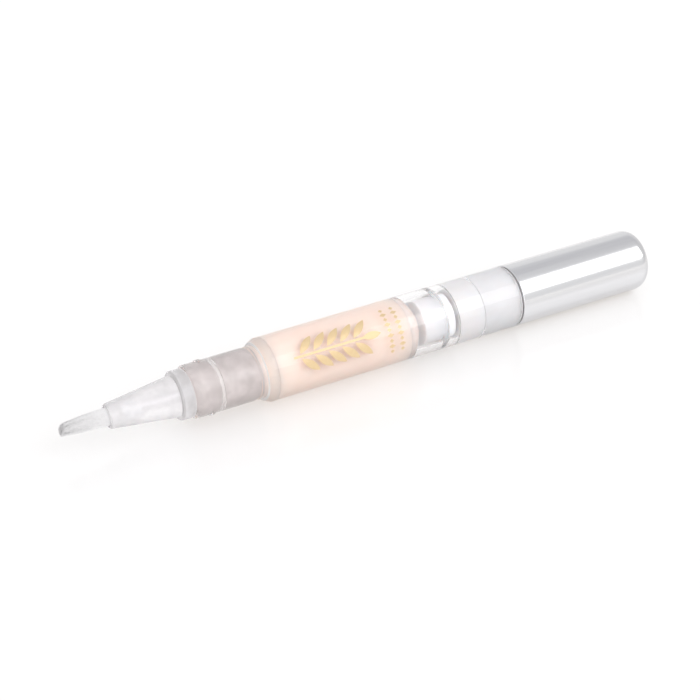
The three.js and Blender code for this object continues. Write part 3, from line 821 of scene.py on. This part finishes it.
# %% Knob shell
SHELL_FRONT, SHELL_REAR = stations("knob_shell")
SHELL_RADIUS, SHELL_BORE = 5.5, 5.05
FRONT_EDGE, END_WALL, INNER_CORNER = 0.12, 0.5, 0.95
END_LENGTH, END_DROP, END_STEPS = 1.9, 1.2, 12
shell_profile = [
    (SHELL_REAR - END_WALL, 0.0),
    (SHELL_REAR - END_WALL, SHELL_BORE - INNER_CORNER),
    (SHELL_REAR - END_WALL - INNER_CORNER, SHELL_BORE),
    (SHELL_FRONT, SHELL_BORE),
    (SHELL_FRONT, SHELL_RADIUS - FRONT_EDGE),
    (SHELL_FRONT + FRONT_EDGE, SHELL_RADIUS),
]
for i in range(END_STEPS + 1):
    a = math.pi / 2 * i / END_STEPS
    shell_profile.append(
        (SHELL_REAR - END_LENGTH * (1 - math.sin(a)), SHELL_RADIUS - END_DROP * (1 - math.cos(a)))
    )
shell_profile.append((SHELL_REAR, 0.0))
shell_bm = spun(shell_profile, corner=0.03, steps=FINE_STEPS)
even_normals(
    piece("knob_shell_drawn", shell_bm, polished_aluminium, "knob", "knob_shell")
)

# %% [markdown]
# ## Pieces that keep their CAD shape
#
# The bush behind the tuft, the pawls, the spindle with its ring and the knob's core lie inside the others.
# They could be turned again like the rest, but their CAD shapes are right and they hardly show, so they stay
# and only get their finish.

# %% Finishes for the CAD nodes that stay
for node, finish in {
    "tuft_bush": white_plastic,
    "pawl_ring": white_plastic,
    "knob_spindle": white_plastic,
    "spindle_o_ring": soft_silicone,
    "knob_core": grey_plastic,
}.items():
    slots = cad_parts[node].data.materials
    for i in range(len(slots)):
        slots[i] = finish
    print(node, "gets", finish.name)

# %% [markdown]
# ## Gold print
#
# The barrel carries a foil print in pale gold. This one is a plain leaf sprig and two rows of lozenges. A
# mask in the barrel's own finish could show it, but foil is a real layer and stays sharp from close by as a
# mesh. The shapes are laid out flat, with X along the pen and Y round it, and then wrapped on the barrel, so
# each keeps its true width.

# %% Leaf and lozenge, laid flat
def flat_leaf(bm, x, y, length, width, turn):
    """Adds a leaf, a grid that is drawn in to a point at both ends. Its sizes are in mm."""
    made = bmesh.ops.create_grid(bm, x_segments=8, y_segments=3, size=0.5)["verts"]
    for v in made:
        v.co.y *= 1 - (2 * v.co.x) ** 2
    bmesh.ops.scale(bm, verts=made, vec=(length, width, 1))
    bmesh.ops.rotate(bm, verts=made, cent=(0, 0, 0), matrix=Matrix.Rotation(turn, 3, "Z"))
    bmesh.ops.translate(bm, verts=made, vec=(x, y, 0))


def flat_lozenge(bm, x, y, length, width):
    """Adds a lozenge, a grid that stands on its corner. Its sizes are in mm."""
    made = bmesh.ops.create_grid(bm, x_segments=4, y_segments=4, size=0.5)["verts"]
    bmesh.ops.rotate(bm, verts=made, cent=(0, 0, 0), matrix=Matrix.Rotation(math.pi / 4, 3, "Z"))
    bmesh.ops.scale(bm, verts=made, vec=(length / math.sqrt(2), width / math.sqrt(2), 1))
    bmesh.ops.translate(bm, verts=made, vec=(x, y, 0))


# %% The print, laid flat
LEAF_PAIRS, FIRST_PAIR, PAIR_PITCH = 5, 7.6, 2.5
LEAF_LENGTH, LEAF_WIDTH, LEAF_OUT, LEAF_TURN = 4.0, 1.3, 1.75, math.radians(42)
TOP_LEAF, TOP_LENGTH = 19.4, 3.6
STEM_MIDDLE, STEM_LENGTH, STEM_WIDTH = 11.4, 13.2, 0.36
LOZENGE_ROWS, LOZENGES, LOZENGE_PITCH = (22.8, 24.8), 9, 0.95
SMALL_LOZENGE, LARGE_LOZENGE, LOZENGE_WIDTH = 0.8, 1.3, 0.75
print_bm = bmesh.new()
for i in range(LEAF_PAIRS):
    for side in (-1, 1):
        station = FIRST_PAIR + PAIR_PITCH * i
        flat_leaf(print_bm, station, side * LEAF_OUT, LEAF_LENGTH, LEAF_WIDTH, side * LEAF_TURN)
flat_leaf(print_bm, TOP_LEAF, 0.0, TOP_LENGTH, LEAF_WIDTH, 0.0)
stem = bmesh.ops.create_grid(print_bm, x_segments=24, y_segments=1, size=0.5)["verts"]
bmesh.ops.scale(print_bm, verts=stem, vec=(STEM_LENGTH, STEM_WIDTH, 1))
bmesh.ops.translate(print_bm, verts=stem, vec=(STEM_MIDDLE, 0, 0))
for row in LOZENGE_ROWS:
    for i in range(LOZENGES):
        round_pen = LOZENGE_PITCH * (i - (LOZENGES - 1) / 2)
        flat_lozenge(print_bm, row, round_pen, LARGE_LOZENGE if i % 2 else SMALL_LOZENGE, LOZENGE_WIDTH)
print("print of", len(print_bm.faces), "flat faces")

# %% The print, wrapped on the barrel
PRINT_RADIUS, PRINT_ANGLE = 5.5, math.radians(38)
FOIL, FLAT_MERGE = 0.012, 1e-5
bmesh.ops.remove_doubles(print_bm, verts=print_bm.verts[:], dist=FLAT_MERGE)
lifted = bmesh.ops.extrude_face_region(print_bm, geom=print_bm.faces[:])["geom"]
top = [g for g in lifted if isinstance(g, bmesh.types.BMVert)]
bmesh.ops.translate(print_bm, verts=top, vec=(0, 0, FOIL))
for v in print_bm.verts:
    angle = PRINT_ANGLE + v.co.y / PRINT_RADIUS
    radius = PRINT_RADIUS - FOIL + v.co.z
    v.co = Vector((v.co.x, -radius * math.cos(angle), radius * math.sin(angle))) * MM
gold_foil = moulded("gold_foil", (0.74, 0.57, 0.34), (0.69, 0.51, 0.28), 0.4, (0.3, 0.42), Metallic=0.35)
piece("gold_print", print_bm, gold_foil, "barrel")

# %% [markdown]
# ## Floor
#
# The floor is white and faintly glossy. A white floor under plain light renders as a pale grey, so for the
# camera, and for rays that a shiny or clear surface sends on, a part of its white is its own: the background
# is then an even white and the pen's shadow stays as pale as in a bright studio. That own white is a little
# warm and the lit part a little blue, so the two make white in the open while the pen's real shadow turns
# warm: a painted warm tint in the shade. For all other rays it is a plain white floor that throws light back
# up.

# %% Floor plane
FLOOR_REACH = 3.0
floor_bm = bmesh.new()
bmesh.ops.create_grid(floor_bm, x_segments=1, y_segments=1, size=FLOOR_REACH)
floor_mesh = bpy.data.meshes.new("floor")
floor_bm.to_mesh(floor_mesh)
floor_bm.free()
floor = bpy.data.objects.new("floor", floor_mesh)
bpy.context.scene.collection.objects.link(floor)
floor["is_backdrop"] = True
print("floor of", 2 * FLOOR_REACH, "m")

# %% Floor finish
floor_finish = bpy.data.materials.new("white_floor")
floor_finish.use_nodes = True
floor_mesh.materials.append(floor_finish)
nodes, links = floor_finish.node_tree.nodes, floor_finish.node_tree.links
bounce = nodes["Principled BSDF"]
bounce.inputs["Base Color"].default_value = (0.95, 0.95, 0.95, 1)
bounce.inputs["Roughness"].default_value = 0.9
bounce.inputs["Specular IOR Level"].default_value = 0.0
# Painted warm shade: this lit part is a little blue and the glow below a little warm, so where the pen's
# shadow dims the lit part, the shadow is tinted warm.
shaded = nodes.new("ShaderNodeBsdfPrincipled")
shaded.inputs["Base Color"].default_value = (0.55, 0.58, 0.62, 1)
shaded.inputs["Roughness"].default_value = 0.2
shaded.inputs["IOR"].default_value = 2.0
own_white_painted_warm_shade = nodes.new("ShaderNodeEmission")
own_white_painted_warm_shade.inputs["Color"].default_value = (0.38, 0.345, 0.305, 1)
seen = nodes.new("ShaderNodeAddShader")
links.new(shaded.outputs["BSDF"], seen.inputs[0])
links.new(own_white_painted_warm_shade.outputs["Emission"], seen.inputs[1])
print("finish", floor_finish.name)

# %% Which rays see which floor
ray = nodes.new("ShaderNodeLightPath")
camera_or_glossy = nodes.new("ShaderNodeMath")
shown = nodes.new("ShaderNodeMath")
camera_or_glossy.operation = shown.operation = "MAXIMUM"
either = nodes.new("ShaderNodeMixShader")
links.new(ray.outputs["Is Camera Ray"], camera_or_glossy.inputs[0])
links.new(ray.outputs["Is Glossy Ray"], camera_or_glossy.inputs[1])
links.new(camera_or_glossy.outputs["Value"], shown.inputs[0])
links.new(ray.outputs["Is Transmission Ray"], shown.inputs[1])
links.new(shown.outputs["Value"], either.inputs["Fac"])
links.new(bounce.outputs["BSDF"], either.inputs[1])
links.new(seen.outputs["Shader"], either.inputs[2])
links.new(either.outputs["Shader"], nodes["Material Output"].inputs["Surface"])
print("floor finish of", len(nodes), "nodes")

# %% [markdown]
# ## Studio light
#
# A large softbox hangs over the front of the pen and gives the long bright band on the knob and the barrel,
# and a weak one fills in from the left. The room round them is white, a little darker towards both ends of
# the pen, with a grey gap between the back wall and the ceiling, so the metal has something to mirror. A
# panorama of a real studio would mirror more richly, but a few nodes are enough for a plain room.

# %% Room
GREY_GAP = ((0.62, 0.78), (0.84, 0.76), (0.9, 0.9))
MIX_FACTOR, MIX_A, MIX_B, MIX_RESULT = 0, 6, 7, 2
world = bpy.data.worlds.new("studio")
bpy.context.scene.world = world
world.use_nodes = True
nodes, links = world.node_tree.nodes, world.node_tree.links
room = nodes["Background"]
direction = nodes.new("ShaderNodeTexCoord")
split = nodes.new("ShaderNodeSeparateXYZ")
height = nodes.new("ShaderNodeValToRGB")
horizon, ceiling = height.color_ramp.elements
horizon.position, ceiling.position = 0.5, 0.97
horizon.color = ceiling.color = (1, 1, 1, 1)
for place, grey in GREY_GAP:
    height.color_ramp.elements.new(place).color = (grey, grey, grey + 0.02, 1)
front = nodes.new("ShaderNodeMapRange")
front.inputs["From Min"].default_value, front.inputs["From Max"].default_value = 0.2, -0.5
lighter = nodes.new("ShaderNodeMix")
lighter.data_type = "RGBA"
lighter.inputs[MIX_B].default_value = (1, 1, 1, 1)
links.new(direction.outputs["Generated"], split.inputs["Vector"])
links.new(split.outputs["Z"], height.inputs["Fac"])
links.new(split.outputs["Y"], front.inputs["Value"])
links.new(front.outputs["Result"], lighter.inputs[MIX_FACTOR])
links.new(height.outputs["Color"], lighter.inputs[MIX_A])
links.new(lighter.outputs[MIX_RESULT], room.inputs["Color"])
print("room of", len(height.color_ramp.elements), "greys from the horizon to the ceiling")

# %% Dimmer ends of the room
END_LIGHT = 0.82
from_middle = nodes.new("ShaderNodeMath")
from_middle.operation = "ABSOLUTE"
dimmer = nodes.new("ShaderNodeMapRange")
dimmer.inputs["From Min"].default_value, dimmer.inputs["From Max"].default_value = 0.55, 0.95
dimmer.inputs["To Min"].default_value, dimmer.inputs["To Max"].default_value = 1.0, END_LIGHT
links.new(split.outputs["X"], from_middle.inputs[0])
links.new(from_middle.outputs["Value"], dimmer.inputs["Value"])
links.new(dimmer.outputs["Result"], room.inputs["Strength"])
print("the ends of the room are at", END_LIGHT)

# %% Softboxes
PEN_MIDDLE = Vector((0.0, 0.0, AXIS_Z))


def softbox(name, towards, distance, size_x, size_y, radiance):
    """Hangs a lamp in a direction from the pen, facing it. Its power grows with its area."""
    lamp = bpy.data.lights.new(name, "AREA")
    lamp.shape, lamp.size, lamp.size_y = "RECTANGLE", size_x, size_y
    lamp.energy = radiance * math.pi * size_x * size_y
    made = bpy.data.objects.new(name, lamp)
    bpy.context.scene.collection.objects.link(made)
    made.location = PEN_MIDDLE + Vector(towards).normalized() * distance
    made.rotation_euler = Vector(towards).to_track_quat("Z", "Y").to_euler()
    print(name, "gives %.2f W" % lamp.energy)


softbox("overhead_softbox", (0.416, -0.652, 0.63), distance=1.2, size_x=1.2, size_y=0.8, radiance=1.4)
softbox("front_fill", (-0.55, -0.75, 0.35), distance=1.2, size_x=1.2, size_y=1.0, radiance=0.7)

# %% [markdown]
# ## Camera
#
# The camera looks down on the pen from the front left with a longish lens, so the brush comes a little
# nearer than the knob. A constraint could aim it, but a direction and a distance in numbers are easier to
# adjust: a turn of -29.4 degrees and a height of 32 degrees put both ends where the photograph has them.

# %% Camera
AZIMUTH, ELEVATION = math.radians(-29.4), math.radians(32.0)
ROLL = math.radians(-0.22)
TARGET = Vector((-0.00385, -0.00069, 0.00468))
DISTANCE = 0.2995
SENSOR_WIDTH, LENS = 36.0, 91.6
back = Vector((
    math.sin(AZIMUTH) * math.cos(ELEVATION),
    -math.cos(AZIMUTH) * math.cos(ELEVATION),
    math.sin(ELEVATION),
))
camera_data = bpy.data.cameras.new("camera")
camera_data.sensor_width, camera_data.lens = SENSOR_WIDTH, LENS
camera_data.clip_start = 0.01
camera = bpy.data.objects.new("camera", camera_data)
bpy.context.scene.collection.objects.link(camera)
camera.location = TARGET + back * DISTANCE
level = (-back).to_track_quat("-Z", "Y")
camera.rotation_euler = (level @ Quaternion((0, 0, 1), ROLL)).to_euler()
bpy.context.scene.camera = camera
bpy.context.scene.view_settings.view_transform = "Standard"
print("camera %.1f mm from the pen" % (DISTANCE / MM))

# %% [markdown]
# ## Size
#
# The dressed pen and the CAD model stand for one object, so they should fill the same box. Both boxes are
# printed, so a piece that reaches too far shows at once.

# %% Print the two boxes
visual_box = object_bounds()
for low, high, name in ((*cad_box, "CAD box"), (*visual_box, "visual box")):
    print(name, ["%.3f" % (c / MM) for c in low], ["%.3f" % (c / MM) for c in high])
